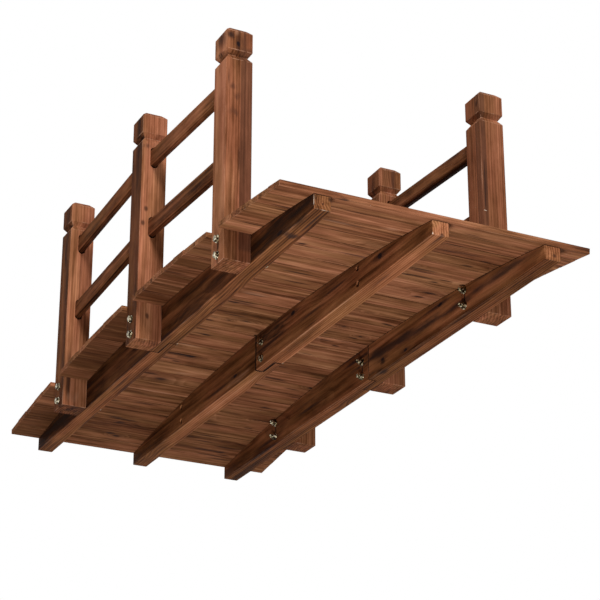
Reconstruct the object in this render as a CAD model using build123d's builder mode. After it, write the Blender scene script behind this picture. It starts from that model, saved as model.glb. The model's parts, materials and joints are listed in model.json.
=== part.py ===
"""Arched wooden garden footbridge: three bolted stringers, plank deck, six posts and eight rails."""

from build123d import *
from math import asin, atan, ceil, cos, degrees, hypot, sin, sqrt
import os

os.makedirs("parts", exist_ok=True)

# Millimetres. X runs along the bridge, Y across it and Z up, with the origin on the ground
# under the middle of the deck. "Near" is the +X end, "far" the -X end, "left" the -Y side.

bridge_length = 1500.0
deck_overhang = 2.0             # past each end of the stringers

# Stringers: flat underneath, arched on top, each made of two halves lapped at mid length
stringer_thickness = 36.0
stringer_spread = 498.0         # between the centres of the two outer stringers
stringer_end_height = 31.0
stringer_crown_height = 83.0
lap_length = 62.0
lap_end_gap = 2.0               # at the free end of each tongue

# Posts: square, with a V-cut neck all round under a chamfered cap
post_side = 58.0
post_spacing = 447.0            # from the middle post to each end post
middle_post_height = 546.0
end_post_height = 522.0
cap_height = 54.0
cap_chamfer = 10.5
neck_height = 22.0
neck_depth = 8.0

# Rails: flat bars with rounded edges, housed in round-ended mortises in the posts
rail_thickness = 18.0
rail_height = 40.0
rail_edge_radius = 7.0
upper_rail_drop = 112.5         # from the post tops down to the rail's centre line
lower_rail_drop = 282.0
tenon_length = 14.0
mortise_end_gap = 0.5
mortise_height_gap = 4.5        # above and below the rail

# Deck: planks laid across the arch, with a short one between each pair of posts
deck_width = 675.0
board_thickness = 12.0
board_width = 54.6              # nearly, because a whole number of boards fills each bay
board_gap = 1.0
board_post_gap = 0.3            # between the boards and the faces of the posts

# Bolts, washers and nuts
bolt_diameter = 8.0
bolt_hole_diameter = 9.0
spare_hole_diameter = 13.0      # through the middle stringer between the end posts
lower_bolt_height = 18.0
upper_bolt_drop = 11.5          # from the stringer's top at the end posts
upper_lap_bolt_drop = 26.0      # from the middle stringer's crown
post_bolt_length = 110.0        # under the head
lap_bolt_length = 55.0
hex_width = 13.0                # across the flats of heads and nuts
head_thickness = 5.3
nut_thickness = 6.5
nut_bore_gap = 0.05             # round the bolt
washer_diameter = 17.0
washer_thickness = 1.6

# Places that follow from the sizes above
outer_stringer_y = stringer_spread / 2
post_inner_y = outer_stringer_y + stringer_thickness / 2
post_centre_y = post_inner_y + post_side / 2
post_outer_y = post_inner_y + post_side
stringer_inner_y = outer_stringer_y - stringer_thickness / 2
stringer_length = bridge_length - 2 * deck_overhang
arch_rise = stringer_crown_height - stringer_end_height
arch_radius = ((stringer_length / 2) ** 2 + arch_rise**2) / (2 * arch_rise)
notch_height = 2 * stringer_crown_height    # cuts past the crown
rail_slope = (middle_post_height - end_post_height) / post_spacing
rail_tilt = atan(rail_slope)
mortise_depth = tenon_length + mortise_end_gap + rail_height / 2 * sin(rail_tilt)
mortise_height = rail_height / cos(rail_tilt) + mortise_depth * rail_slope + 2 * mortise_height_gap

side_names = {-1: "left", 1: "right"}
end_names = {-1: "far", 0: "middle", 1: "near"}


def arch_height(x):
    """Height of the stringers' curved top at a distance x from mid length."""
    return stringer_crown_height - arch_radius + sqrt(arch_radius**2 - x**2)


post_bolt_heights = (lower_bolt_height, arch_height(post_spacing) - upper_bolt_drop)
lap_bolt_heights = (lower_bolt_height, stringer_crown_height - upper_lap_bolt_drop)


def rail_centre_height(x, drop):
    """Height of a rail's centre line, which runs parallel to the line of the post tops."""
    return middle_post_height - abs(x) * rail_slope - drop


def upright_plane(y):
    """Plane along the bridge at y, seen with X to the right and Z up; it faces -Y."""
    return Plane.XZ.offset(-y)


def save(part, name):
    part.label = name
    export_step(part, f"parts/{name}.step")


# Stringers ------------------------------------------------------------------------------


def build_stringer_half(y_centre, end, tongue_side, lap_hole_heights, end_hole_diameter):
    """One half of a stringer, with its tongue on the tongue_side cheek and its bolt holes."""
    tongue_x = -end * (lap_length / 2 - lap_end_gap)
    foot_x = end * stringer_length / 2
    middle_x = (tongue_x + foot_x) / 2
    cheek = upright_plane(y_centre + stringer_thickness / 2)
    with BuildPart() as half:
        with BuildSketch(cheek):
            with BuildLine():
                Polyline(
                    (tongue_x, arch_height(tongue_x)),
                    (tongue_x, 0),
                    (foot_x, 0),
                    (foot_x, stringer_end_height),
                )
                ThreePointArc(
                    (foot_x, stringer_end_height),
                    (middle_x, arch_height(middle_x)),
                    (tongue_x, arch_height(tongue_x)),
                )
            make_face()
        extrude(amount=stringer_thickness)
        with BuildSketch():
            with Locations((0, y_centre - tongue_side * stringer_thickness / 2)):
                Rectangle(lap_length, stringer_thickness)
        extrude(amount=notch_height, mode=Mode.SUBTRACT)
        with BuildSketch(cheek):
            with Locations([(0, z) for z in lap_hole_heights]):
                Circle(bolt_hole_diameter / 2)
            with Locations([(end * post_spacing, z) for z in post_bolt_heights]):
                Circle(end_hole_diameter / 2)
        extrude(amount=stringer_thickness, mode=Mode.SUBTRACT)
    return half.part


# The tongue of each near half is on the outer cheek, or on the left one in the middle stringer.
# The middle stringer is drilled like the others at the end posts, and those holes stay empty.
stringers = {
    "left": (-outer_stringer_y, -1, post_bolt_heights, bolt_hole_diameter),
    "middle": (0, -1, lap_bolt_heights, spare_hole_diameter),
    "right": (outer_stringer_y, 1, post_bolt_heights, bolt_hole_diameter),
}
for stringer, (y_centre, near_side, lap_hole_heights, end_hole_diameter) in stringers.items():
    for end in (1, -1):
        half = build_stringer_half(y_centre, end, end * near_side, lap_hole_heights, end_hole_diameter)
        save(half, f"stringer_{stringer}_{end_names[end]}")


# Posts ----------------------------------------------------------------------------------


def build_post(side, station):
    """A post beside the outer stringer, at the middle (0) or at an end (-1 or 1)."""
    x_centre = station * post_spacing
    y_centre = side * post_centre_y
    height = end_post_height if station else middle_post_height
    neck_centre = height - cap_height - neck_height / 2
    rail_sides = (-station,) if station else (-1, 1)
    with BuildPart() as post:
        with BuildSketch(Plane((x_centre, y_centre, 0))):
            Rectangle(post_side, post_side)
        extrude(amount=height)
        chamfer(post.faces().sort_by(Axis.Z)[-1].edges(), cap_chamfer)

        for across in (Plane.XZ, Plane.YZ):
            neck_origin = (x_centre, y_centre, neck_centre)
            with BuildSketch(Plane(neck_origin, x_dir=across.x_dir, z_dir=across.z_dir)):
                with BuildLine():
                    Polyline(
                        (post_side / 2, -neck_height / 2),
                        (post_side / 2 - neck_depth, 0),
                        (post_side / 2, neck_height / 2),
                        close=True,
                    )
                make_face()
                mirror(about=Plane.YZ)
            extrude(amount=post_side / 2, both=True, mode=Mode.SUBTRACT)

        for rail_side in rail_sides:
            face_x = x_centre + rail_side * post_side / 2
            mortise_x = face_x - rail_side * mortise_depth / 2
            for drop in (upper_rail_drop, lower_rail_drop):
                mortise_centre = (face_x, y_centre, rail_centre_height(mortise_x, drop))
                with BuildSketch(Plane(mortise_centre, x_dir=(0, 1, 0), z_dir=(rail_side, 0, 0))):
                    SlotOverall(mortise_height, rail_thickness, rotation=90)
                extrude(amount=-mortise_depth, mode=Mode.SUBTRACT)

        with BuildSketch(upright_plane(y_centre)):
            with Locations([(x_centre, z) for z in post_bolt_heights]):
                Circle(bolt_hole_diameter / 2)
        extrude(amount=post_side / 2, both=True, mode=Mode.SUBTRACT)
    return post.part


for side, side_name in side_names.items():
    for station, station_name in end_names.items():
        save(build_post(side, station), f"post_{side_name}_{station_name}")


# Rails ----------------------------------------------------------------------------------


def build_rail(side, end, drop):
    """A rail from the middle post to an end post, cut square to its own slope."""
    start_x = end * (post_side / 2 - tenon_length)
    finish_x = end * (post_spacing - post_side / 2 + tenon_length)
    start_z = rail_centre_height(start_x, drop)
    finish_z = rail_centre_height(finish_x, drop)
    along = (finish_x - start_x, 0, finish_z - start_z)
    start = (start_x, side * post_centre_y, start_z)
    with BuildPart() as rail:
        with BuildSketch(Plane(start, x_dir=(0, 1, 0), z_dir=along)):
            RectangleRounded(rail_thickness, rail_height, rail_edge_radius)
        extrude(amount=hypot(along[0], along[2]))
    return rail.part


for side, side_name in side_names.items():
    for end in (1, -1):
        for level, drop in (("upper", upper_rail_drop), ("lower", lower_rail_drop)):
            save(build_rail(side, end, drop), f"rail_{side_name}_{end_names[end]}_{level}")


# Deck -----------------------------------------------------------------------------------


def bay_spans(start_x, finish_x):
    """Start and finish of each board between two posts, which an even division fills."""
    count = round((finish_x - start_x + board_gap) / (board_width + board_gap))
    pitch = (finish_x - start_x + board_gap) / count
    return [(start_x + i * pitch, start_x + (i + 1) * pitch - board_gap) for i in range(count)]


def ramp_spans(start_x, finish_x):
    """Start and finish of each board past an end post, of which the outermost is cut to fit."""
    count = ceil((finish_x - start_x) / (board_width + board_gap))
    starts = [start_x + i * (board_width + board_gap) for i in range(count)]
    return [(x, min(x + board_width, finish_x)) for x in starts]


def build_board(start_x, finish_x, length):
    """A board lying on the arch, square to it at the middle of the board's width."""
    centre_x = (start_x + finish_x) / 2
    tilt = asin(centre_x / arch_radius)
    rest_x = centre_x - board_thickness / 2 * sin(tilt)
    underside = Plane((rest_x, 0, arch_height(rest_x)), z_dir=(sin(tilt), 0, cos(tilt)))
    with BuildPart() as board:
        with BuildSketch(underside):
            Rectangle((finish_x - start_x) / cos(tilt), length)
        extrude(amount=board_thickness)
    return board.part


def board_lean(x):
    """How far the upper and lower edges of a board at x lean out from its mid thickness."""
    return board_thickness / 2 * x / arch_radius


post_clearance = post_side / 2 + board_post_gap
bay_finish = post_spacing - post_clearance - board_lean(post_spacing)
ramp_start = post_spacing + post_clearance + board_lean(post_spacing + post_side)
ramp_finish = bridge_length / 2 - board_lean(bridge_length / 2)
long_spans = bay_spans(post_clearance, bay_finish) + ramp_spans(ramp_start, ramp_finish)
long_spans += [(-finish_x, -start_x) for start_x, finish_x in long_spans]
short_half_width = post_clearance - board_gap
short_spans = [(x - short_half_width, x + short_half_width) for x in (-post_spacing, 0, post_spacing)]
short_board_length = 2 * post_inner_y - 2 * board_post_gap

for number, (start_x, finish_x) in enumerate(sorted(long_spans + short_spans), start=1):
    is_short = (start_x, finish_x) in short_spans
    board_length = short_board_length if is_short else deck_width
    save(build_board(start_x, finish_x, board_length), f"deck_board_{number:02d}")


# Bolts and nuts -------------------------------------------------------------------------


def build_bolts(head_y, outward, places, length):
    """Hexagon bolts, each with a washer under its head, at (x, z) places on the plane head_y."""
    seat = upright_plane(head_y)
    washer_top = upright_plane(head_y + outward * washer_thickness)
    with BuildPart() as bolts:
        with BuildSketch(seat):
            with Locations(places):
                Circle(washer_diameter / 2)
        extrude(amount=-outward * washer_thickness)
        with BuildSketch(washer_top):
            with Locations(places):
                RegularPolygon(hex_width / 2, 6, major_radius=False)
        extrude(amount=-outward * head_thickness)
        with BuildSketch(washer_top):
            with Locations(places):
                Circle(bolt_diameter / 2)
        extrude(amount=outward * length)
    return bolts.part


def build_nuts(seat_y, outward, places):
    """Hexagon nuts, each with its washer, at (x, z) places on the plane seat_y."""
    with BuildPart() as nuts:
        with BuildSketch(upright_plane(seat_y)):
            with Locations(places):
                Circle(washer_diameter / 2)
        extrude(amount=-outward * washer_thickness)
        with BuildSketch(upright_plane(seat_y + outward * washer_thickness)):
            with Locations(places):
                RegularPolygon(hex_width / 2, 6, major_radius=False)
        extrude(amount=-outward * nut_thickness)
        with BuildSketch(upright_plane(seat_y)):
            with Locations(places):
                Circle(bolt_diameter / 2 + nut_bore_gap)
        extrude(amount=-outward * (washer_thickness + nut_thickness), mode=Mode.SUBTRACT)
    return nuts.part


post_bolt_places = [(x, z) for x in (-post_spacing, 0, post_spacing) for z in post_bolt_heights]
lap_bolt_places = [(0, z) for z in lap_bolt_heights]
for side, side_name in side_names.items():
    post_bolts = build_bolts(side * post_outer_y, side, post_bolt_places, post_bolt_length)
    save(post_bolts, f"bolts_{side_name}")
    save(build_nuts(side * stringer_inner_y, -side, post_bolt_places), f"nuts_{side_name}")

save(build_bolts(-stringer_thickness / 2, -1, lap_bolt_places, lap_bolt_length), "bolts_middle")
save(build_nuts(stringer_thickness / 2, 1, lap_bolt_places), "nuts_middle")

print(f"arch radius {arch_radius:.0f} mm, rail slope {degrees(rail_tilt):.1f} degrees")
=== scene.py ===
import json
import math
import random

import bmesh
import bpy
from mathutils import Matrix, Vector
from mathutils.bvhtree import BVHTree


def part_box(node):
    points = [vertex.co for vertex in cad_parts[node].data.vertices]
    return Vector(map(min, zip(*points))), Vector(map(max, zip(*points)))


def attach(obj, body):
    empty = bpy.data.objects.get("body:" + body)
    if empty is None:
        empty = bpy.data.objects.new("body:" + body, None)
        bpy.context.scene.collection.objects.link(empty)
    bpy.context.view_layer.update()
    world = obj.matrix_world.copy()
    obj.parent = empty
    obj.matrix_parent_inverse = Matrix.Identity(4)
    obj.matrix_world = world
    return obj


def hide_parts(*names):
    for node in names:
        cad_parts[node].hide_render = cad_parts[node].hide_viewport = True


# Metres. The bridge runs along X with its near end at +X, left is -Y, and Z is up from the ground.

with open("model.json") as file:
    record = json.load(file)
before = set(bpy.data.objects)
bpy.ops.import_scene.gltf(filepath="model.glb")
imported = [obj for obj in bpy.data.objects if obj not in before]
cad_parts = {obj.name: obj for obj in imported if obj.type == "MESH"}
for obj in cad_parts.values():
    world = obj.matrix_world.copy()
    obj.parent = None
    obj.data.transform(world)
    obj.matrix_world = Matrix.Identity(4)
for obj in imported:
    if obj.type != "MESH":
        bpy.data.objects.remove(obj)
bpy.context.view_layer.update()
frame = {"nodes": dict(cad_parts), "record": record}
slotOf = {row["node"]: row["material_slot"] for row in frame["record"]["subparts"]}
scene = bpy.context.scene
rng = random.Random(41)
weld = 1e-6      # points closer than this are one


def newTree(name):
    material = bpy.data.materials.new(name)
    material.use_nodes = True
    tree = material.node_tree
    return material, tree, tree.nodes["Principled BSDF"]


# inputs are socket names or numbers with a value, or with the socket that feeds them
def addNode(tree, kind, inputs=None, **settings):
    node = tree.nodes.new("ShaderNode" + kind)
    for key, value in settings.items():
        setattr(node, key, value)
    for key, value in (inputs or {}).items():
        if isinstance(value, bpy.types.NodeSocket):
            tree.links.new(value, node.inputs[key])
        else:
            node.inputs[key].default_value = value
    return node


def calc(tree, operation, a, b=0.0, c=0.0):
    return addNode(tree, "Math", {0: a, 1: b, 2: c}, operation=operation).outputs[0]


def scaled(tree, vector, factors):
    return addNode(tree, "VectorMath", {0: vector, 1: factors}, operation="MULTIPLY").outputs[0]


def noise(tree, vector, detail=2.0, roughness=0.5, output=0):
    sockets = {"Vector": vector, "Scale": 1.0, "Detail": detail, "Roughness": roughness}
    return addNode(tree, "TexNoise", sockets).outputs[output]


# a colored noise as a vector that points either way
def wobbled(tree, vector, detail, roughness):
    clouds = noise(tree, vector, detail, roughness, 1)
    return addNode(tree, "VectorMath", {0: clouds, 1: (0.5, 0.5, 0.5)}, operation="SUBTRACT").outputs[0]


def attribute(tree, name):
    return addNode(tree, "Attribute", attribute_name=name).outputs["Fac"]


def ranged(tree, value, low, high, toLow=0.0, toHigh=1.0):
    sockets = {"Value": value, "From Min": low, "From Max": high, "To Min": toLow, "To Max": toHigh}
    return addNode(tree, "MapRange", sockets, interpolation_type="SMOOTHSTEP").outputs[0]


def mixColor(tree, factor, a, b, blend="MIX"):
    node = addNode(tree, "Mix", {0: factor}, data_type="RGBA", blend_type=blend)
    for key, value in ((6, a), (7, b)):
        if isinstance(value, bpy.types.NodeSocket):
            tree.links.new(value, node.inputs[key])
        else:
            node.inputs[key].default_value = value
    return node.outputs[2]


def ramp(tree, factor, stops):
    node = addNode(tree, "ValToRGB", {0: factor})
    ends = node.color_ramp.elements
    while len(ends) < len(stops):
        ends.new(0.5)
    for end, (position, color) in zip(ends, stops):
        end.position = position
        end.color = (*color, 1)
    return node.outputs[0]


# the arch, from its crown and its ends, and the fall of the rails between the posts
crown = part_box("stringer_left_near")[1].z
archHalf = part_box("stringer_left_near")[1].x
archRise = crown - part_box("deck_board_27")[0].z
archRadius = (archHalf ** 2 + archRise ** 2) / (2 * archRise)
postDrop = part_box("post_left_middle")[1].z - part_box("post_left_near")[1].z
postSpacing = (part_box("post_left_near")[0].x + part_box("post_left_near")[1].x) / 2


# height of the boards' undersides
def archHeight(x):
    return math.sqrt(archRadius ** 2 - x ** 2) - archRadius + crown


# Stained softwood, cut from a solid log whose pith is the texture's X axis.
stainTones = [(0.00, (0.026, 0.008, 0.0035)), (0.25, (0.105, 0.037, 0.015)), (0.50, (0.215, 0.083, 0.038)),
              (0.75, (0.345, 0.142, 0.072)), (1.00, (0.510, 0.225, 0.125))]
# side tones make each side lighter or darker by the way it looks: partly stain, partly painted light and
# shade
deckWood = {
    "ringSpacing": 0.0055, "ringShare": 0.16, "cheekRings": 1.0, "waver": 0.010,
    "pithDistance": (0.05, 0.12), "endRings": 0.0,
    "bandCells": (3.2, 75, 75), "bandShare": 1.2, "fibreShare": 0.60, "driftShare": 0.90,
    "knotCells": (6.5, 15.0, 5.0), "knotSize": 0.13, "knotShare": 0.45, "knotBend": 0.012,
    "streakCells": (8.0, 75.0, 40.0), "streakSize": 0.36, "streakShare": 0.60,
    "mottleCells": (16, 60, 60), "mottleShare": 0.50, "toneRange": (-0.04, 0.19), "sideTones": {},
    "bevel": 0.0010, "rubbed": 0.25, "seamRange": (0.02, 0.75), "cast": (1.0, 0.985, 0.92), "endTrim": 0.0020,
}
stringerWood = {
    "ringSpacing": 0.0058, "ringShare": 0.28, "cheekRings": 0.35, "waver": 0.008,
    "pithDistance": (0.10, 0.18), "endRings": 0.02,
    "bandCells": (2.2, 50, 100), "bandShare": 1.2, "fibreShare": 0.60, "driftShare": 0.80,
    "knotCells": (4.5, 14.0, 10.0), "knotSize": 0.19, "knotShare": 0.60, "knotBend": 0.014,
    "streakCells": (4.0, 60.0, 60.0), "streakSize": 0.34, "streakShare": 0.50,
    "mottleCells": (10, 45, 45), "mottleShare": 0.45, "toneRange": (-0.02, 0.02),
    "sideTones": {"left": -0.17, "near": 0.12, "far": -0.05, "under": 0.02},
    "bevel": 0.0016, "rubbed": 0.20, "seamRange": (0.85, 1.0), "cast": (1.0, 0.93, 0.78), "endTrim": 0.0,
}
postWood = {
    "ringSpacing": 0.0060, "ringShare": 0.14, "cheekRings": 1.0, "waver": 0.014,
    "pithDistance": (0.10, 0.18), "endRings": 0.10,
    "bandCells": (2.2, 38, 125), "bandShare": 1.15, "fibreShare": 0.55, "driftShare": 0.80,
    "knotCells": (6.0, 14.0, 14.0), "knotSize": 0.14, "knotShare": 0.20, "knotBend": 0.012,
    "streakCells": (4.0, 50.0, 50.0), "streakSize": 0.30, "streakShare": 0.25,
    "mottleCells": (22, 50, 70), "mottleShare": 0.45, "toneRange": (0.06, 0.10),
    "sideTones": {"left": -0.16, "under": -0.14},
    "bevel": 0.0010, "rubbed": 0.6, "seamRange": (0.6, 0.9), "cast": (1.0, 0.92, 0.88), "endTrim": 0.0,
}
railWood = {
    "ringSpacing": 0.0045, "ringShare": 0.18, "cheekRings": 1.0, "waver": 0.006,
    "pithDistance": (0.07, 0.12), "endRings": 0.0,
    "bandCells": (2.5, 90, 90), "bandShare": 1.0, "fibreShare": 0.50, "driftShare": 0.80,
    "knotCells": (4.0, 20.0, 20.0), "knotSize": 0.16, "knotShare": 0.35, "knotBend": 0.008,
    "streakCells": (4.0, 70.0, 70.0), "streakSize": 0.32, "streakShare": 0.40,
    "mottleCells": (18, 50, 50), "mottleShare": 0.65, "toneRange": (-0.09, -0.03),
    "sideTones": {"under": -0.26},
    "bevel": 0.0008, "rubbed": 0.4, "seamRange": (0.6, 0.9), "cast": (1.0, 0.95, 0.86), "endTrim": 0.0,
}
woodOf = {"deck": deckWood, "stringer": stringerWood, "post": postWood, "rail": railWood}
# pieces that took more or less stain than their kind; the entries for their sides also make those sides
# lighter or darker as painted light and shade
pieceStainShades = {
    "postLeftNear": {"all": -0.06, "left": 0.42, "under": 0.07},
    "postLeftMiddle": {"all": 0.10, "left": -0.25},
    "postLeftFar": {"all": 0.08, "left": -0.24, "under": -0.26},
    "postRightNear": {"all": 0.06, "left": 0.09},
    "stringerLeftNear": {"all": -0.12, "left": -0.10, "near": 0.12},
    "stringerLeftFar": {"all": -0.12, "left": -0.18},
    "stringerMiddleNear": {"all": 0.02, "under": 0.06, "near": 0.20},
    "stringerMiddleFar": {"under": 0.04, "left": -0.12},
    "railRightNearUpper": {"all": -0.04, "under": -0.30},
    "railRightNearLower": {"under": -0.30},
    "railLeftFarLower": {"all": -0.13},
    "railLeftNearLower": {"all": -0.08},
    "railLeftFarUpper": {"all": -0.05},
    "stringerRightNear": {"under": -0.24, "near": -0.04, "left": 0.02},
    "stringerRightFar": {"under": -0.22, "left": -0.06},
    "deckBoard03": {"all": -0.12},
}
# faces that marks lie on: the stringers' left cheeks, and the left and near faces of the posts
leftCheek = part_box("stringer_left_near")[0].y
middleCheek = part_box("stringer_middle_near")[0].y
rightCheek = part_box("stringer_right_near")[0].y
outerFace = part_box("post_left_near")[0].y
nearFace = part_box("post_left_near")[1].x
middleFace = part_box("post_left_middle")[1].x
# knots in the undersides of the boards: along and across the bridge
deckKnots = [
    (0.485, -0.158), (0.120, -0.142), (0.005, -0.147), (-0.075, -0.120), (0.745, -0.213), (0.105, 0.128),
    (0.160, 0.207), (0.053, 0.180), (-0.005, 0.169), (0.550, 0.179), (0.590, 0.193), (0.450, 0.189),
    (0.430, 0.168), (0.334, 0.184), (0.440, 0.094), (-0.277, 0.187), (-0.400, 0.183), (-0.521, 0.192),
    (-0.670, 0.187), (-0.687, 0.208), (-0.198, -0.131), (-0.237, -0.122), (-0.600, -0.112), (-0.662, -0.110),
]
# marks worth listing one by one: kind, middle, half sizes
marks = [
    # knots in the stringers' sides
    ("knot", (0.540, middleCheek, 0.040), (0.012, 0.010, 0.007)),
    ("knot", (0.155, middleCheek, 0.066), (0.012, 0.010, 0.006)),
    ("knot", (-0.139, middleCheek, 0.025), (0.012, 0.010, 0.005)),
    ("knot", (0.605, leftCheek, 0.010), (0.014, 0.010, 0.006)),
    ("knot", (0.097, rightCheek, 0.026), (0.010, 0.010, 0.005)),
    ("knot", (0.196, rightCheek, 0.011), (0.010, 0.010, 0.005)),
    ("knot", (0.348, rightCheek, 0.058), (0.012, 0.010, 0.006)),
    ("eye", (archHalf, 0.252, 0.011), (0.004, 0.006, 0.006)),
    # black stain on the stringers' cheeks and undersides, painted shadow on the left stringer's far cheek,
    # painted shade towards the far ends of the undersides, and pale streaks
    ("soot", (0.640, leftCheek, 0.030), (0.220, 0.014, 0.090)),
    ("soot", (0.050, middleCheek, 0.060), (0.130, 0.010, 0.040)),
    ("smear", (0.080, rightCheek, 0.046), (0.080, 0.010, 0.020)),
    ("smear", (0.180, rightCheek, 0.041), (0.100, 0.010, 0.018)),
    ("smear", (0.290, rightCheek, 0.035), (0.110, 0.010, 0.014)),
    ("smear", (0.400, rightCheek, 0.029), (0.100, 0.010, 0.011)),
    ("stain", (0.600, rightCheek, 0.032), (0.170, 0.010, 0.013)),
    ("drip", (0.098, rightCheek, 0.018), (0.020, 0.010, 0.008)),
    ("drip", (0.088, 0.236, 0.000), (0.030, 0.014, 0.010)),
    # painted shadow on the left stringer's far cheek
    ("soot", (-0.600, leftCheek, 0.030), (0.200, 0.012, 0.050)),
    ("smear", (0.625, -0.248, 0.000), (0.018, 0.026, 0.008)),
    # painted shade: the undersides of the left and middle stringers darker towards their far ends
    ("shade", (-0.690, -0.249, 0.000), (0.120, 0.024, 0.008)),
    ("shade", (-0.700, 0.000, 0.000), (0.100, 0.024, 0.008)),
    ("bare", (0.250, -0.0165, 0.000), (0.220, 0.0035, 0.0035)),
    ("bare", (-0.110, middleCheek, 0.012), (0.080, 0.008, 0.012)),
    # drips under the upper nuts of the right stringer
    ("drip", (0.447, rightCheek, 0.035), (0.005, 0.006, 0.016)),
    ("drip", (0.000, rightCheek, 0.035), (0.005, 0.006, 0.014)),
    ("drip", (-0.447, rightCheek, 0.035), (0.006, 0.006, 0.016)),
    # splintered arrises
    ("splinter", (archHalf, leftCheek, 0.014), (0.0016, 0.0009, 0.018)),
    ("splinter", (archHalf, -0.248, 0.000), (0.0016, 0.019, 0.0009)),
    ("splinter", (archHalf, middleCheek, 0.002), (0.0022, 0.0020, 0.004)),
    ("splinter", (0.473, -0.231, 0.000), (0.0040, 0.0030, 0.0030)),
    ("splinter", (0.036, -0.231, 0.000), (0.0040, 0.0030, 0.0030)),
    ("splinter", (0.036, 0.018, 0.000), (0.0040, 0.0030, 0.0030)),
    ("splinter", (-0.414, -0.231, 0.000), (0.0040, 0.0030, 0.0030)),
    ("bare", (-0.220, -0.002, 0.000), (0.160, 0.004, 0.006)),
    # the near left post: figure on its face, marks on its cap
    ("dark board", (0.447, -0.280, 0.250), (0.031, 0.0135, 0.230)),
    ("smear", (nearFace, -0.316, 0.500), (0.014, 0.013, 0.012)),
    ("soot", (0.440, outerFace, 0.462), (0.022, 0.008, 0.010)),
    ("shade", (nearFace, -0.284, 0.495), (0.010, 0.015, 0.030)),
    ("bare", (nearFace, -0.301, 0.508), (0.012, 0.007, 0.012)),
    ("knot", (nearFace, -0.299, 0.482), (0.010, 0.0045, 0.0080)),
    ("stain", (0.447, outerFace, 0.496), (0.036, 0.010, 0.034)),
    ("figure", (nearFace, -0.319, 0.404), (0.010, 0.006, 0.026)),
    ("figure", (nearFace, -0.308, 0.384), (0.010, 0.018, 0.011)),
    ("figure", (nearFace, -0.298, 0.362), (0.010, 0.013, 0.012)),
    ("figure", (nearFace, -0.306, 0.325), (0.010, 0.018, 0.012)),
    ("drip", (nearFace, -0.295, 0.225), (0.010, 0.0018, 0.055)),
    ("drip", (0.450, outerFace, 0.035), (0.007, 0.006, 0.018)),
    ("soot", (0.448, outerFace, 0.004), (0.010, 0.006, 0.010)),
    # the other posts
    ("eye", (middleFace, -0.301, 0.054), (0.010, 0.006, 0.010)),
    ("eye", (middleFace, -0.312, 0.305), (0.010, 0.006, 0.009)),
    ("eye", (middleFace, -0.318, 0.270), (0.010, 0.006, 0.009)),
    ("shade", (middleFace, -0.314, 0.458), (0.010, 0.014, 0.008)),
    ("drip", (nearFace, 0.2735, 0.290), (0.010, 0.0028, 0.090)),
    ("dark board", (0.470, 0.272, 0.300), (0.014, 0.0085, 0.260)),
    ("shade", (0.473, 0.2750, 0.310), (0.018, 0.0075, 0.220)),
    ("eye", (0.465, 0.267, 0.491), (0.007, 0.010, 0.011)),
    ("splinter", (nearFace, 0.2725, 0.232), (0.004, 0.0050, 0.0013)),
    ("bare", (-0.418, -0.300, 0.020), (0.010, 0.018, 0.020)),
    # the middle stringer's lap: painted shadow in its joints, wider and darker than the gap the CAD leaves
    ("gap", (-0.030, -0.012, 0.040), (0.0034, 0.012, 0.060)),
    ("gap", (0.000, 0.000, 0.000), (0.031, 0.0030, 0.010)),
    ("gap", (0.030, 0.011, 0.000), (0.0030, 0.011, 0.010)),
    # the undersides of the left wing's boards painted darker, with painted shade under the wing, and pale
    # streaks under the deck
    ("dark wing", (-0.120, -0.300, 0.070), (0.084, 0.050, 0.040)),
    ("dark wing", (-0.380, -0.300, 0.060), (0.170, 0.050, 0.050)),
    ("dark wing", (-0.660, -0.300, 0.040), (0.100, 0.050, 0.060)),
    ("dull wing", (0.235, -0.300, 0.076), (0.215, 0.050, 0.050)),
    ("dull wing", (-0.190, -0.300, 0.080), (0.160, 0.050, 0.050)),
    ("bare", (0.630, -0.140, 0.046), (0.007, 0.060, 0.020)),
    ("bare", (0.182, -0.115, 0.080), (0.008, 0.050, 0.020)),
    ("bare", (-0.146, -0.130, 0.081), (0.008, 0.045, 0.020)),
    ("bare", (-0.411, -0.110, 0.067), (0.005, 0.090, 0.020)),
    ("bare", (-0.295, -0.080, 0.075), (0.009, 0.035, 0.020)),
    ("bare", (0.653, -0.045, 0.043), (0.007, 0.030, 0.020)),
]
knotSizes = {"along": (0.004, 0.007), "across": (0.014, 0.022), "deep": 0.020}      # half sizes
for x, y in deckKnots:
    half = (rng.uniform(*knotSizes["along"]), rng.uniform(*knotSizes["across"]), knotSizes["deep"])
    marks.append(("smudge", (x, y, archHeight(x)), half))
# the middle stringer's spare holes, level with the end posts: painted shade inside them, and more painted
# shade on the rim below each hole, towards the near end
spareHoles = {
    "heights": (0.018, 0.053), "inside": (0.0100, 0.0158, 0.0100),
    "bruise": (0.0045, 0.0030, 0.0040), "bruiseShift": (0.003, -0.006),
}
for x in (-postSpacing, postSpacing):
    for z in spareHoles["heights"]:
        marks.append(("hole", (x, 0, z), spareHoles["inside"]))
        rimShaded = (x + spareHoles["bruiseShift"][0], middleCheek, z + spareHoles["bruiseShift"][1])
        marks.append(("drip", rimShaded, spareHoles["bruise"]))
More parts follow.
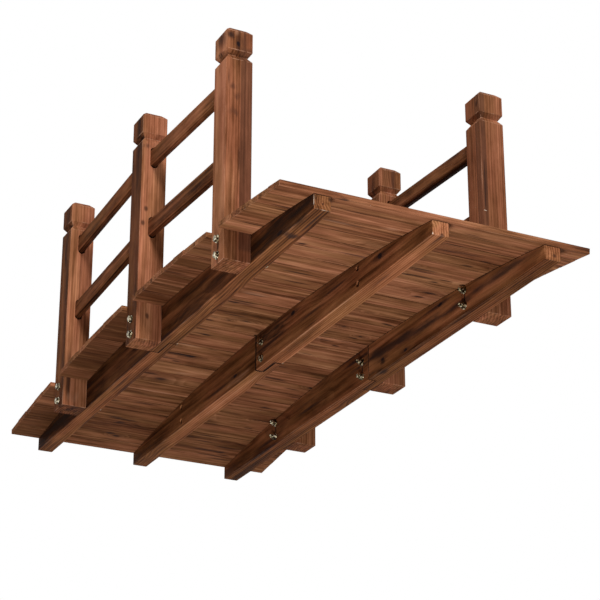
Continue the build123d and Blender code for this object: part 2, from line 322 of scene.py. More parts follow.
# color, how much of it shows, where it starts to fade, how ragged it is, and whether it follows the fibres;
# only and side keep a mark to one kind of piece and to its undersides
markLooks = {
    "knot": {"color": (0.012, 0.008, 0.010, 1), "share": 0.92, "edge": 0.50, "ragged": 1.4},
    "smudge": {"color": (0.018, 0.010, 0.010, 1), "share": 0.90, "edge": 0.25, "ragged": 2.6},
    "soot": {"color": (0.020, 0.011, 0.008, 1), "share": 0.95, "edge": 0.10, "ragged": 2.4, "fibred": True,
             "only": ("stringer", "post")},
    "stain": {"color": (0.030, 0.017, 0.015, 1), "share": 0.74, "edge": 0.15, "ragged": 1.6},
    "smear": {"color": (0.026, 0.014, 0.012, 1), "share": 0.86, "edge": 0.20, "ragged": 1.5},
    "shade": {"color": (0.050, 0.022, 0.017, 1), "share": 0.60, "edge": 0.15, "ragged": 2.0, "fibred": True},
    "eye": {"color": (0.040, 0.017, 0.012, 1), "share": 0.75, "edge": 0.30, "ragged": 0.9},
    "drip": {"color": (0.014, 0.008, 0.007, 1), "share": 0.85, "edge": 0.30, "ragged": 1.6},
    "figure": {"color": (0.090, 0.034, 0.020, 1), "share": 0.75, "edge": 0.10, "ragged": 2.6, "fibred": True},
    "bare": {"color": (0.440, 0.225, 0.135, 1), "share": 0.50, "edge": 0.15, "ragged": 2.4, "fibred": True},
    "splinter": {"color": (0.820, 0.680, 0.540, 1), "share": 0.75, "edge": 0.50, "ragged": 1.2},
    "hole": {"color": (0.008, 0.004, 0.003, 1), "share": 0.94, "edge": 0.85, "square": True},
    "dark board": {"color": (0.080, 0.036, 0.023, 1), "share": 0.50, "edge": 0.96, "square": True},
    "dark wing": {"color": (0.082, 0.032, 0.013, 1), "share": 0.44, "edge": 0.96, "square": True,
                  "only": "deck", "side": "under"},
    "dull wing": {"color": (0.056, 0.017, 0.006, 1), "share": 0.66, "edge": 0.85, "square": True,
                  "fibred": True, "only": "deck", "side": "under"},
    "gap": {"color": (0.006, 0.003, 0.002, 1), "share": 0.97, "edge": 0.75, "square": True},
}


# scattered ellipses: the distance to each, its size, and whether it is among the share that is kept
def spots(tree, grain, cells, size, share):
    cell = addNode(tree, "TexVoronoi", {"Vector": scaled(tree, grain, cells), "Scale": 1.0})
    channels = addNode(tree, "SeparateColor", {0: cell.outputs["Color"]})
    kept = calc(tree, "LESS_THAN", channels.outputs[0], share)
    sized = calc(tree, "MULTIPLY", calc(tree, "ADD", channels.outputs[1], 0.35), size)
    return cell.outputs["Distance"], sized, kept


painting = {
    "raggedCells": (14, 80, 80), "fibreCells": (5, 130, 130), "fibreFade": (0.34, 0.58, 0.35, 1.0),
    "tailStretch": 0.6, "tailFade": (1.5, 0.5), "tailShare": 0.55, "tailColor": (0.045, 0.018, 0.012, 1),
}


# paints the marks that fall on one piece
def placedMarks(tree, name, coords, grain, color, box, along):
    ragged = wobbled(tree, scaled(tree, grain, painting["raggedCells"]), 3.0, 0.55)
    threads = noise(tree, scaled(tree, grain, painting["fibreCells"]), 3.0, 0.6)
    fibred = ranged(tree, threads, *painting["fibreFade"])
    for kind, middle, half in marks:
        look = markLooks[kind]
        outside = any(middle[i] + half[i] < box[0][i] or middle[i] - half[i] > box[1][i] for i in range(3))
        if outside or not name.startswith(look.get("only", "")):
            continue
        away = addNode(tree, "VectorMath", {0: coords, 1: middle}, operation="SUBTRACT").outputs[0]
        away = scaled(tree, away, [1 / side for side in half])
        if look.get("square"):
            away = addNode(tree, "VectorMath", {0: away}, operation="ABSOLUTE").outputs[0]
            split = addNode(tree, "SeparateXYZ", {0: away}).outputs
            far = calc(tree, "MAXIMUM", calc(tree, "MAXIMUM", split[0], split[1]), split[2])
        else:
            uneven = scaled(tree, ragged, [look["ragged"]] * 3)
            away = addNode(tree, "VectorMath", {0: away, 1: uneven}, operation="ADD").outputs[0]
            far = addNode(tree, "VectorMath", {0: away}, operation="LENGTH").outputs["Value"]
        if kind == "knot":     # the fibres before and after a knot are darker too
            stretched = scaled(tree, away, [1 - painting["tailStretch"] * abs(part) for part in along])
            tail = addNode(tree, "VectorMath", {0: stretched}, operation="LENGTH").outputs["Value"]
            ringed = calc(tree, "MULTIPLY", ranged(tree, tail, *painting["tailFade"]), painting["tailShare"])
            color = mixColor(tree, ringed, color, painting["tailColor"])
        mask = calc(tree, "MULTIPLY", ranged(tree, far, 1.0, look["edge"]), look["share"])
        if look.get("fibred"):
            mask = calc(tree, "MULTIPLY", mask, fibred)
        if look.get("side") == "under":
            mask = calc(tree, "MULTIPLY", mask, attribute(tree, "under"))
        color = mixColor(tree, mask, color, look["color"])
    return color


stain = {
    "sawTilt": 0.35, "logReach": 20.0,      # off flat sawn, and along the log
    "waverCells": (1.6, 11, 11), "knotCore": 0.30, "haloFade": (3.2, 0.6),
    "ringCells": (1, 26, 26), "ringDrift": 1.8, "lateRise": (0.15, 0.85), "lateFall": (1.0, 0.93),
    "fibreCells": (12, 320, 320), "driftCells": (5.0, 16, 16), "warmthCells": (4, 24, 24),
    "olive": (0.96, 1.015, 0.95), "rosy": (1.04, 0.985, 1.02),
    "streakColor": (0.020, 0.010, 0.010, 1), "streakShare": 0.72,
    "haloColor": (0.060, 0.022, 0.012, 1), "haloShare": 0.35,
    "knotColor": (0.012, 0.008, 0.010, 1), "knotShare": 0.92,
    "rubbedCells": (9, 60, 60), "rubbedFade": (0.42, 0.66), "rubbedColor": (0.560, 0.300, 0.190, 1),
    "dirtCells": (9, 20, 20), "dirtFade": (0.35, 0.65), "dirtColor": (0.012, 0.005, 0.003, 1),
    "roughness": (0.62, 0.80), "specular": 0.02,
    "lateRelief": 0.7, "fibreRelief": 1.2, "knotRelief": -0.8, "bumpStrength": 0.6, "bumpDepth": 0.0005,
}


def tinted(color, tint):
    return (*(part * share for part, share in zip(color, tint)), 1)


# wood whose grain runs along one direction of the piece, cut from its own place in the log
def stainedWood(name, wood, box, along, across):
    material, tree, shader = newTree(name)
    coords = addNode(tree, "TexCoord")
    turn = Matrix((along, across, along.cross(across)))
    bearing = rng.choice((-1, 1)) * math.pi / 2 + rng.uniform(-stain["sawTilt"], stain["sawTilt"])
    distance = rng.uniform(*wood["pithDistance"])
    reach = rng.uniform(-stain["logReach"], stain["logReach"])
    cut = Vector((reach, distance * math.cos(bearing), distance * math.sin(bearing)))
    place = addNode(tree, "Mapping", {
        "Vector": coords.outputs["Object"],
        "Location": cut - turn @ ((box[0] + box[1]) / 2),
        "Rotation": turn.to_euler("XYZ"),
    })
    place.label = "cut from the log"
    grain = place.outputs[0]

    # slow waver of the fibres along the piece
    wander = wobbled(tree, scaled(tree, grain, stain["waverCells"]), 2.0, 0.5)
    shift = scaled(tree, wander, (0, wood["waver"], wood["waver"]))
    warped = addNode(tree, "VectorMath", {0: grain, 1: shift}, operation="ADD").outputs[0]

    # knots, and the fibres that bend round them
    far, sized, kept = spots(tree, warped, wood["knotCells"], wood["knotSize"], wood["knotShare"])
    edge = calc(tree, "DIVIDE", far, sized)
    knot = calc(tree, "MULTIPLY", ranged(tree, edge, 1.0, stain["knotCore"]), kept)
    halo = calc(tree, "MULTIPLY", ranged(tree, edge, *stain["haloFade"]), kept)

    # growth rings round the pith, each with a late band that ends sharply
    flat = scaled(tree, warped, (0, 1, 1))
    radius = addNode(tree, "VectorMath", {0: flat}, operation="LENGTH").outputs["Value"]
    bent = calc(tree, "MULTIPLY_ADD", halo, wood["knotBend"], radius)
    uneven = noise(tree, scaled(tree, flat, stain["ringCells"]), 1.0, 0.5)
    uneven = calc(tree, "MULTIPLY", uneven, stain["ringDrift"])
    ring = calc(tree, "FRACT", calc(tree, "MULTIPLY_ADD", bent, 1 / wood["ringSpacing"], uneven))
    rise, fall = ranged(tree, ring, *stain["lateRise"]), ranged(tree, ring, *stain["lateFall"])
    late = calc(tree, "MULTIPLY", rise, fall)

    # stain taken up in bands and fine fibres, with a slow drift of tone, round one middle tone
    fibres = noise(tree, scaled(tree, warped, stain["fibreCells"]), 4.0, 0.7)
    uptakes = [
        (noise(tree, scaled(tree, warped, wood["bandCells"]), 4.0, 0.62), wood["bandShare"]),
        (fibres, wood["fibreShare"]),
        (noise(tree, scaled(tree, grain, stain["driftCells"]), 3.0, 0.55), wood["driftShare"]),
        (noise(tree, scaled(tree, warped, wood["mottleCells"]), 3.0, 0.6), wood["mottleShare"]),
    ]
    taken = 0.5 + rng.uniform(*wood["toneRange"]) + pieceStainShades.get(name, {}).get("all", 0.0)
    taken += 0.5 * (wood["ringShare"] - sum(share for _, share in uptakes))
    for uptake, share in uptakes:
        taken = calc(tree, "MULTIPLY_ADD", uptake, share, taken)
    taken = calc(tree, "SUBTRACT", taken, calc(tree, "MULTIPLY", late, attribute(tree, "ringShare")))
    # stain, and painted light and shade, by the side that each face looks to
    taken = calc(tree, "ADD", attribute(tree, "sideTone"), taken)
    color = ramp(tree, taken, stainTones)
    warmth = ranged(tree, noise(tree, scaled(tree, grain, stain["warmthCells"]), 2.0, 0.5), 0.35, 0.65)
    olive, rosy = tinted(wood["cast"], stain["olive"]), tinted(wood["cast"], stain["rosy"])
    color = mixColor(tree, 1.0, color, mixColor(tree, warmth, olive, rosy), "MULTIPLY")

    # dark resin streaks, then the knots themselves
    far, sized, kept = spots(tree, warped, wood["streakCells"], wood["streakSize"], wood["streakShare"])
    edge = calc(tree, "DIVIDE", far, sized)
    streak = calc(tree, "MULTIPLY", ranged(tree, edge, 1.0, 0.3), kept)
    for part, kind in ((streak, "streak"), (halo, "halo"), (knot, "knot")):
        share = calc(tree, "MULTIPLY", part, stain[kind + "Share"])
        color = mixColor(tree, share, color, stain[kind + "Color"])

    color = placedMarks(tree, name, coords.outputs["Object"], grain, color, box, along)

    # stain rubbed off the arrises in places
    rubbed = noise(tree, scaled(tree, grain, stain["rubbedCells"]), 3.0, 0.6)
    wear = calc(tree, "MULTIPLY", attribute(tree, "arris"), ranged(tree, rubbed, *stain["rubbedFade"]))
    color = mixColor(tree, calc(tree, "MULTIPLY", wear, wood["rubbed"]), color, stain["rubbedColor"])

    # dirt and pooled stain where two pieces meet, and painted shade in the joint
    patchy = noise(tree, scaled(tree, grain, stain["dirtCells"]), 3.0, 0.6)
    broken = ranged(tree, patchy, *stain["dirtFade"], *wood["seamRange"])
    dirtAndShade = calc(tree, "MULTIPLY", attribute(tree, "seam"), broken)
    color = mixColor(tree, dirtAndShade, color, stain["dirtColor"])

    tree.links.new(color, shader.inputs["Base Color"])
    tree.links.new(ranged(tree, taken, 0.2, 0.8, *stain["roughness"]), shader.inputs["Roughness"])
    shader.inputs["Specular IOR Level"].default_value = stain["specular"]
    relief = calc(tree, "MULTIPLY", fibres, stain["fibreRelief"])
    relief = calc(tree, "MULTIPLY_ADD", late, stain["lateRelief"], relief)
    relief = calc(tree, "MULTIPLY_ADD", knot, stain["knotRelief"], relief)
    grooves = {"Strength": stain["bumpStrength"], "Distance": stain["bumpDepth"], "Height": relief}
    tree.links.new(addNode(tree, "Bump", grooves).outputs[0], shader.inputs["Normal"])
    return material


# Wooden pieces: each follows its CAD solid, with its arrises eased.
easing = {
    "flatAngle": 1, "sharpAngle": 25, "mergeAngle": 0.2,      # degrees
    "shortEdge": 0.003, "rimWidth": 0.0003, "seamReach": 0.0026, "endGrain": 0.7,
}


def camelName(node):
    first, *rest = node.split("_")
    return first + "".join(word.capitalize() for word in rest)


# makes a piece of a shape, in place of the CAD nodes that it stands for
def finishPiece(bm, name, slot, material, *nodes):
    mesh = bpy.data.meshes.new(name)
    bm.to_mesh(mesh)
    bm.free()
    mesh.materials.append(material)
    piece = bpy.data.objects.new(name, mesh)
    scene.collection.objects.link(piece)
    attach(piece, "root")
    if nodes:
        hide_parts(*nodes)
    return piece


# the CAD solid's mesh, merged, with its flat faces whole
def cleanCopy(node):
    bm = bmesh.new()
    bm.from_mesh(frame["nodes"][node].data)
    bmesh.ops.remove_doubles(bm, verts=bm.verts, dist=weld)
    even = math.radians(easing["mergeAngle"])
    bmesh.ops.dissolve_limit(bm, angle_limit=even, verts=bm.verts, edges=bm.edges)
    return bm


def sharpEdges(bm):
    sharp = math.radians(easing["sharpAngle"])
    return {edge for edge in bm.edges if len(edge.link_faces) == 2 and edge.calc_face_angle(0) > sharp}


# sorts sharp edges into the rims of holes, which are chains of short edges, and the rest
def rimsAndArrises(edges):
    rims, arrises = [], []
    left = set(edges)
    while left:
        chain = [left.pop()]
        for edge in chain:
            for vert in edge.verts:
                for near in vert.link_edges:
                    if near in left:
                        left.remove(near)
                        chain.append(near)
        (rims if min(edge.calc_length() for edge in chain) < easing["shortEdge"] else arrises).extend(chain)
    return rims, arrises


# the side that a face looks to
def facing(normal):
    turned = max(range(3), key=lambda i: abs(normal[i]))
    return (("far", "near"), ("left", "right"), ("under", "top"))[turned][normal[turned] > 0]


# marks the faces that belong to a curve, which render smooth
def smoothCurves(bm):
    flat, sharp = math.radians(easing["flatAngle"]), math.radians(easing["sharpAngle"])
    for face in bm.faces:
        turns = [edge.calc_face_angle(0) for edge in face.edges if len(edge.link_faces) == 2]
        face.smooth = any(flat < turn < sharp for turn in turns)


# whether a face runs along another piece, by two spots on it
def meetsAnother(face, near):
    longest = max(face.edges, key=lambda edge: edge.calc_length())
    quarter = (longest.verts[1].co - longest.verts[0].co) / 4
    places = [face.calc_center_median() + quarter * way for way in (-1, 1)]
    return all(any(tree.find_nearest(place, easing["seamReach"])[0] for tree in near) for place in places)


# the CAD solid with its arrises eased, and with what its material reads written on its faces
def easedSolid(node, wood, along):
    bm = cleanCopy(node)
    if wood["endTrim"]:      # saw cuts are never all in line
        left, right = rng.uniform(0, wood["endTrim"]), rng.uniform(0, wood["endTrim"])
        for vert in bm.verts:
            vert.co.y += left if vert.co.y < 0 else -right
    arris, seam, sideTone, ringShare, under = [
        bm.faces.layers.float.new(name) for name in ("arris", "seam", "sideTone", "ringShare", "under")]
    smoothCurves(bm)
    rims, arrises = rimsAndArrises(sharpEdges(bm))
    for edges, offset in ((arrises, wood["bevel"]), (rims, easing["rimWidth"])):
        still = [edge for edge in edges if edge.is_valid]
        if still:
            eased = bmesh.ops.bevel(bm, geom=still, offset=offset, offset_type="OFFSET", affect="EDGES",
                                    segments=2, profile=0.5, material=-1, clamp_overlap=True)
            for face in eased["faces"]:
                face.smooth = True
                face[arris] = 1.0
    bmesh.ops.recalc_face_normals(bm, faces=bm.faces)
    low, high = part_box(node)
    reach = Vector((1, 1, 1)) * easing["seamReach"]
    near = [tree for other, (otherLow, otherHigh, tree) in solidTrees.items() if other != node
            and all(otherLow[i] < (high + reach)[i] and otherHigh[i] > (low - reach)[i] for i in range(3))]
    tones = pieceStainShades.get(camelName(node), {})
    for face in bm.faces:
        if face[arris] and meetsAnother(face, near):
            face[arris] = 0.0
            face[seam] = 1.0
        side = facing(face.normal)
        face[under] = float(side == "under")
        # the side's tone: stain, and painted light and shade by the way the face looks
        face[sideTone] = wood["sideTones"].get(side, 0.0) + tones.get(side, 0.0)
        cheek = wood["cheekRings"] if side in ("left", "right") else 1.0
        face[ringShare] = wood["ringShare"] * cheek
        if abs(face.normal.dot(along)) > easing["endGrain"]:
            face[ringShare] = wood["ringShare"] + wood["endRings"]
    return bm


# how far a board leans on the arch
def boardTilt(node):
    low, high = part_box(node)
    return math.asin((low.x + high.x) / 2 / archRadius)


# the length and the breadth of a piece, as unit vectors
def grainOf(node):
    if node.startswith("post"):
        return Vector((0, 0, 1)), Vector((1, 0, 0))
    if node.startswith("deck"):
        tilt = boardTilt(node)
        return Vector((0, 1, 0)), Vector((math.cos(tilt), 0, -math.sin(tilt)))
    if node.startswith("rail"):
        fall = -1 if "near" in node else 1      # down towards the ends
        slope = math.atan2(postDrop, postSpacing) * fall
        return Vector((math.cos(slope), 0, math.sin(slope))), Vector((-math.sin(slope), 0, math.cos(slope)))
    return Vector((1, 0, 0)), Vector((0, 0, 1))


woodNodes = [node for node in sorted(frame["nodes"]) if node.split("_")[0] in woodOf]
solidTrees = {}      # box and search tree of each wooden solid
for node in woodNodes:
    solid = cleanCopy(node)
    solidTrees[node] = (*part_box(node), BVHTree.FromBMesh(solid))
    solid.free()

for node in woodNodes:
    wood = woodOf[node.split("_")[0]]
    along, across = grainOf(node)
    material = stainedWood(camelName(node), wood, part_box(node), along, across)
    solid = easedSolid(node, wood, along)
    finishPiece(solid, camelName(node), slotOf[node], material, node)
print("wood done")


# Bolts, nuts and washers, with threads and chamfers that the CAD leaves plain: yellowish zinc, with painted
# glints and painted dark reflections in its colour.
hardware = {
    "hexWidth": 0.013, "headHeight": 0.0053, "nutHeight": 0.0065, "washerRadius": 0.0085,
    "washerHeight": 0.0016, "boltRadius": 0.004, "boreRadius": 0.00405, "pitch": 0.00125,
    "threadLength": 0.022, "threadDepth": 0.0007, "tipChamfer": 0.0008, "facets": 24,
    "chamferShare": 0.475, "chamferSlope": 30, "tipSlope": 45,      # share of the hexagon's width; degrees
    "washerFacets": 36, "washerEdge": 0.0004, "washerPlay": 0.0004, "shankOverlap": 0.0005,
    "rimAngle": 60, "rimShare": 1.2,      # edges this sharp and this far out, in bores, are a washer's rim
}
glintedZincLooks = {
    "cloudCells": (210, 210, 210), "scratchCells": (2500, 2500, 400),
    "tones": [(0.42, (0.05, 0.04, 0.03)), (0.53, (0.24, 0.19, 0.09)), (0.62, (0.78, 0.72, 0.56))],
    "roughness": (0.26, 0.46), "bumpStrength": 0.25, "bumpDepth": 0.0001,
}


def zincPlate():
    material, tree, shader = newTree("zincPlate")
    coords = addNode(tree, "TexCoord").outputs["Object"]
    clouds = noise(tree, scaled(tree, coords, glintedZincLooks["cloudCells"]), 2.0, 0.5)
    # the zinc's colour blotched with painted dark reflections and painted glints
    tree.links.new(ramp(tree, clouds, glintedZincLooks["tones"]), shader.inputs["Base Color"])
    shader.inputs["Metallic"].default_value = 1.0
    tree.links.new(ranged(tree, clouds, 0.3, 0.7, *glintedZincLooks["roughness"]), shader.inputs["Roughness"])
    scratches = noise(tree, scaled(tree, coords, glintedZincLooks["scratchCells"]), 2.0, 0.5)
    fine = {"Strength": glintedZincLooks["bumpStrength"], "Distance": glintedZincLooks["bumpDepth"], "Height": scratches}
    tree.links.new(addNode(tree, "Bump", fine).outputs[0], shader.inputs["Normal"])
    return material


def vertsIn(items):
    return [item for item in items if isinstance(item, bmesh.types.BMVert)]


# cuts away what lies past a plane and closes the cut
def trim(bm, point, normal):
    everything = bm.verts[:] + bm.edges[:] + bm.faces[:]
    cut = bmesh.ops.bisect_plane(bm, geom=everything, plane_co=point, plane_no=normal, clear_outer=True)
    rim = [item for item in cut["geom_cut"] if isinstance(item, bmesh.types.BMEdge)]
    if rim:
        bmesh.ops.edgeloop_fill(bm, edges=rim)


# takes the corners off an end, as a lathe does: a cone that starts at a radius on the end
def turnedOff(bm, height, facing, radius, slope):
    for step in range(hardware["facets"]):
        angle = 2 * math.pi * step / hardware["facets"]
        out = Vector((math.cos(angle), math.sin(angle), 0))
        lean = out * math.sin(slope) + Vector((0, 0, facing * math.cos(slope)))
        trim(bm, out * radius + Vector((0, 0, height)), lean)


# the chamfer on the corners of a hexagon's end
def chamferEnd(bm, height, facing):
    radius = hardware["hexWidth"] * hardware["chamferShare"]
    turnedOff(bm, height, facing, radius, math.radians(hardware["chamferSlope"]))


def hexBlock(low, high):
    bm = bmesh.new()
    made = bmesh.ops.create_circle(bm, cap_ends=True, segments=6, radius=hardware["hexWidth"] / math.sqrt(3))
    bmesh.ops.translate(bm, verts=made["verts"], vec=(0, 0, low))
    raised = bmesh.ops.extrude_face_region(bm, geom=bm.faces[:])
    bmesh.ops.translate(bm, verts=vertsIn(raised["geom"]), vec=(0, 0, high - low))
    bmesh.ops.recalc_face_normals(bm, faces=bm.faces)
    chamferEnd(bm, high, 1)
    return bm


# a flat ring on the seat, with a rounded rim
def addWasher(bm, bore):
    top, edge = hardware["washerHeight"], hardware["washerRadius"]
    ring = [bm.verts.new(corner) for corner in ((bore, 0, 0), (edge, 0, 0), (edge, 0, top), (bore, 0, top))]
    section = [bm.edges.new((ring[i - 1], ring[i])) for i in range(4)]
    spun = bmesh.ops.spin(bm, geom=ring + section, cent=(0, 0, 0), axis=(0, 0, 1), angle=2 * math.pi,
                          steps=hardware["washerFacets"], use_merge=True)
    faces = {face for vert in vertsIn(spun["geom_last"]) for face in vert.link_faces}
    while True:      # all the faces that hang together with them
        wider = {near for face in faces for edge in face.edges for near in edge.link_faces}
        if wider == faces:
            break
        faces = wider
    rims = {edge for face in faces for edge in face.edges
            if edge.calc_face_angle(0) > math.radians(hardware["rimAngle"])
            and edge.verts[0].co.xy.length > bore * hardware["rimShare"]}
    bmesh.ops.bevel(bm, geom=list(rims), offset=hardware["washerEdge"], offset_type="OFFSET", affect="EDGES",
                    segments=2, profile=0.5, material=-1)


# a rod whose last stretch is a real helical thread, from top down to its tip
def addThread(bm, top, tip):
    rod = bmesh.new()
    pitch, outer = hardware["pitch"], hardware["boltRadius"]
    root = outer - hardware["threadDepth"]
    turns = round(hardware["threadLength"] / pitch) + 2
    start = tip - pitch
    chain = []
    for step in range(turns):
        chain.append(rod.verts.new((root, 0, start + step * pitch)))
        chain.append(rod.verts.new((outer, 0, start + (step + 0.5) * pitch)))
    links = [rod.edges.new((chain[i], chain[i + 1])) for i in range(len(chain) - 1)]
    facets = hardware["facets"]
    bmesh.ops.spin(rod, geom=chain + links, cent=(0, 0, 0), axis=(0, 0, 1), dvec=(0, 0, pitch / facets),
                   angle=2 * math.pi, steps=facets, use_merge=False)
    bmesh.ops.remove_doubles(rod, verts=rod.verts, dist=weld)
    bmesh.ops.recalc_face_normals(rod, faces=rod.faces)
    trim(rod, (0, 0, tip), (0, 0, -1))
    turnedOff(rod, tip, -1, outer - hardware["tipChamfer"], math.radians(hardware["tipSlope"]))
    collar = tip + hardware["threadLength"]
    trim(rod, (0, 0, collar), (0, 0, 1))
    shank = bmesh.ops.create_cone(rod, cap_ends=True, segments=facets, radius1=outer, radius2=outer,
                                  depth=top - collar)
    bmesh.ops.translate(rod, verts=shank["verts"], vec=(0, 0, (top + collar) / 2))
    merge(bm, rod)


# adds another bmesh to this one
def merge(bm, other):
    held = bpy.data.meshes.new("held")
    other.to_mesh(held)
    other.free()
    bm.from_mesh(held)
    bpy.data.meshes.remove(held)


def boltShape(length):
    seat = hardware["washerHeight"]
    bm = hexBlock(seat, seat + hardware["headHeight"])
    addWasher(bm, hardware["boltRadius"] + hardware["washerPlay"])
    addThread(bm, seat + hardware["shankOverlap"], seat - length)
    return bm


def nutShape():
    low, high = hardware["washerHeight"], hardware["washerHeight"] + hardware["nutHeight"]
    bm = hexBlock(low, high)
    chamferEnd(bm, low, -1)
    ends = [face for face in bm.faces if abs(face.normal.z) > 0.999]
    rims = [list(face.edges) for face in sorted(ends, key=lambda face: face.calc_center_median().z)]
    bmesh.ops.delete(bm, geom=ends, context="FACES_ONLY")
    bores = []
    for height in (low, high):
        ring = bmesh.ops.create_circle(bm, cap_ends=False, segments=hardware["facets"],
                                       radius=hardware["boreRadius"])
        bmesh.ops.translate(bm, verts=ring["verts"], vec=(0, 0, height))
        bores.append(list({edge for vert in ring["verts"] for edge in vert.link_edges}))
    for rim, bore in zip(rims, bores):
        bmesh.ops.bridge_loops(bm, edges=rim + bore)
    bmesh.ops.bridge_loops(bm, edges=bores[0] + bores[1])
    bmesh.ops.recalc_face_normals(bm, faces=bm.faces)
    addWasher(bm, hardware["boreRadius"])
    return bm


# the boxes of the separate solids that a CAD node holds
def solidsOf(node):
    bm = bmesh.new()
    bm.from_mesh(frame["nodes"][node].data)
    bmesh.ops.remove_doubles(bm, verts=bm.verts, dist=weld)
    left = set(bm.verts)
    boxes = []
    while left:
        reached = {left.pop()}
        front = list(reached)
        while front:
            for edge in front.pop().link_edges:
                for vert in edge.verts:
                    if vert in left:
                        left.remove(vert)
                        reached.add(vert)
                        front.append(vert)
        low = Vector(min(vert.co[i] for vert in reached) for i in range(3))
        high = Vector(max(vert.co[i] for vert in reached) for i in range(3))
        boxes.append((low, high))
    bm.free()
    return sorted(boxes, key=lambda box: (box[0].x, box[0].z))


# puts one bolt or nut, facing +Y or -Y, on the seat of each solid of the node
def setHardware(node, facing, shape):
    bm = bmesh.new()
    isBolt = shape is boltShape
    wide = hardware["washerHeight"] + hardware["headHeight" if isBolt else "nutHeight"]
    for low, high in solidsOf(node):
        centre = (low + high) / 2
        one = shape(high.y - low.y - hardware["headHeight"]) if isBolt else shape()
        seat = high.y - wide if facing > 0 else low.y + wide
        spin = Matrix() if isBolt else Matrix.Rotation(rng.uniform(0, math.pi / 3), 4, "Z")
        stand = Matrix.Rotation(-facing * math.pi / 2, 4, "X")
        place = Matrix.Translation((centre.x, seat, centre.z)) @ stand @ spin
        bmesh.ops.transform(one, matrix=place, verts=one.verts)
        merge(bm, one)
    for face in bm.faces:
        face.smooth = False
    finishPiece(bm, camelName(node), slotOf[node], glintedZinc, node)


glintedZinc = zincPlate()
for side, outward in (("left", -1), ("middle", -1), ("right", 1)):
    setHardware("bolts_" + side, outward, boltShape)
    setHardware("nuts_" + side, -outward, nutShape)
print("bolts and nuts done")


# Nail heads, two per board over each stringer.
nails = {
    "radius": 0.0032, "proud": 0.0003, "rim": 0.0005, "facets": 10,
    "spread": 0.27, "strayAlong": 0.002, "strayAcross": 0.004,      # share of the board's width; metres
    "blotchCells": (90, 90, 90), "roughness": (0.35, 0.70),
    "tones": [(0.35, (0.24, 0.22, 0.19)), (0.55, (0.14, 0.10, 0.07)), (0.70, (0.10, 0.04, 0.02))],
}


def nailSteel():
    material, tree, shader = newTree("nailSteel")
    coords = addNode(tree, "TexCoord").outputs["Object"]
    blotches = noise(tree, scaled(tree, coords, nails["blotchCells"]), 3.0, 0.6)
    tree.links.new(ramp(tree, blotches, nails["tones"]), shader.inputs["Base Color"])
    shader.inputs["Metallic"].default_value = 0.8
    tree.links.new(ranged(tree, blotches, 0.3, 0.7, *nails["roughness"]), shader.inputs["Roughness"])
    return material


def driveNails():
    bm = bmesh.new()
    stringers = [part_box("stringer_" + side + "_near") for side in ("left", "middle", "right")]
    rows = [(low.y + high.y) / 2 for low, high in stringers]
    for node in sorted(node for node in frame["nodes"] if node.startswith("deck")):
        low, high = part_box(node)
        tilt = boardTilt(node)
        middle, width = (low.x + high.x) / 2, high.x - low.x
        top = high.z - abs(math.sin(tilt)) * width / 2
        for row in rows:
            for side in (-1, 1):
                stray = rng.uniform(-nails["strayAlong"], nails["strayAlong"])
                away = side * width * nails["spread"] + stray
                z = top - math.tan(tilt) * away
                head = bmesh.ops.create_cone(
                    bm, cap_ends=True, segments=nails["facets"], radius1=nails["radius"],
                    radius2=nails["radius"] - nails["rim"], depth=nails["proud"] * 3)
                y = row + rng.uniform(-nails["strayAcross"], nails["strayAcross"])
                place = Matrix.Translation((middle + away, y, z - nails["proud"] / 2))
                bmesh.ops.transform(bm, matrix=place @ Matrix.Rotation(tilt, 4, "Y"), verts=head["verts"])
    finishPiece(bm, "deckNails", "zinc_steel", nailSteel())


driveNails()
print("nails done")


# Floor, world, lamps and camera.
studio = {
    "floorSize": 30.0, "floorGap": 0.0006, "floorColor": (0.86, 0.86, 0.86, 1), "floorRoughness": 0.9,
    "ambient": (0.28, 0.28, 0.28, 1), "backdrop": (1.0, 1.0, 1.0, 1),
}
lamps = [
    {"name": "keyFront", "place": (3.8, -1.3, 2.6), "size": 1.2, "power": 145.0},
    {"name": "fromBelow", "place": (1.2, -0.9, -1.7), "size": 0.6, "power": 28.0},
    {"name": "fillLeft", "place": (0.4, -3.2, 3.8), "size": 2.4, "power": 20.0},
    {"name": "fillRight", "place": (-2.5, 3.6, 3.6), "size": 2.4, "power": 90.0},
]
view = {"lens": 119.15, "place": (3.6473, -1.7325, -1.5927), "turn": (113.47, 0.0, 63.63)}      # degrees


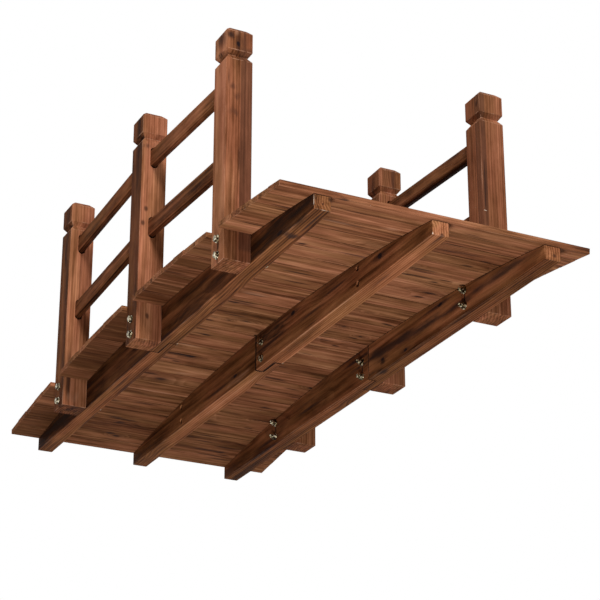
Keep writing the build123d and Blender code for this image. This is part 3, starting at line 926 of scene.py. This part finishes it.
# a floor that holds the shadow, and is clear to a camera below it
def layFloor():
    bm = bmesh.new()
    bmesh.ops.create_grid(bm, x_segments=1, y_segments=1, size=studio["floorSize"] / 2)
    bmesh.ops.translate(bm, verts=bm.verts, vec=(0, 0, -studio["floorGap"]))
    mesh = bpy.data.meshes.new("floor")
    bm.to_mesh(mesh)
    bm.free()
    material, tree, shader = newTree("paleFloor")
    shader.inputs["Base Color"].default_value = studio["floorColor"]
    shader.inputs["Roughness"].default_value = studio["floorRoughness"]
    shader.inputs["Specular IOR Level"].default_value = 0.0
    rays = addNode(tree, "LightPath")
    front = calc(tree, "SUBTRACT", 1.0, addNode(tree, "NewGeometry").outputs["Backfacing"])
    seen = calc(tree, "MULTIPLY", rays.outputs["Is Camera Ray"], front)
    clear = addNode(tree, "BsdfTransparent")
    mixed = addNode(tree, "MixShader", {0: seen, 1: clear.outputs[0], 2: shader.outputs[0]})
    tree.links.new(mixed.outputs[0], tree.nodes["Material Output"].inputs["Surface"])
    mesh.materials.append(material)
    floor = bpy.data.objects.new("floor", mesh)
    scene.collection.objects.link(floor)


def lightRoom():
    world = bpy.data.worlds.new("studio")
    scene.world = world
    world.use_nodes = True
    tree = world.node_tree
    back = tree.nodes["Background"]
    rays = addNode(tree, "LightPath")
    seen = calc(tree, "MAXIMUM", rays.outputs["Is Camera Ray"], rays.outputs["Is Glossy Ray"])
    seen = calc(tree, "MAXIMUM", seen, rays.outputs["Is Transmission Ray"])
    tree.links.new(mixColor(tree, seen, studio["ambient"], studio["backdrop"]), back.inputs["Color"])
    for lamp in lamps:
        data = bpy.data.lights.new(lamp["name"], "AREA")
        data.shape = "DISK"
        data.size = lamp["size"]
        data.energy = lamp["power"]
        source = bpy.data.objects.new(lamp["name"], data)
        source.location = lamp["place"]
        source.rotation_euler = (-Vector(lamp["place"])).to_track_quat("-Z", "Y").to_euler()
        scene.collection.objects.link(source)


def setCamera():
    data = bpy.data.cameras.new("camera")
    data.lens = view["lens"]
    camera = bpy.data.objects.new("camera", data)
    camera.location = view["place"]
    camera.rotation_euler = [math.radians(angle) for angle in view["turn"]]
    scene.collection.objects.link(camera)
    scene.camera = camera


layFloor()
lightRoom()
setCamera()
scene.view_settings.view_transform = "Standard"
print("studio done")
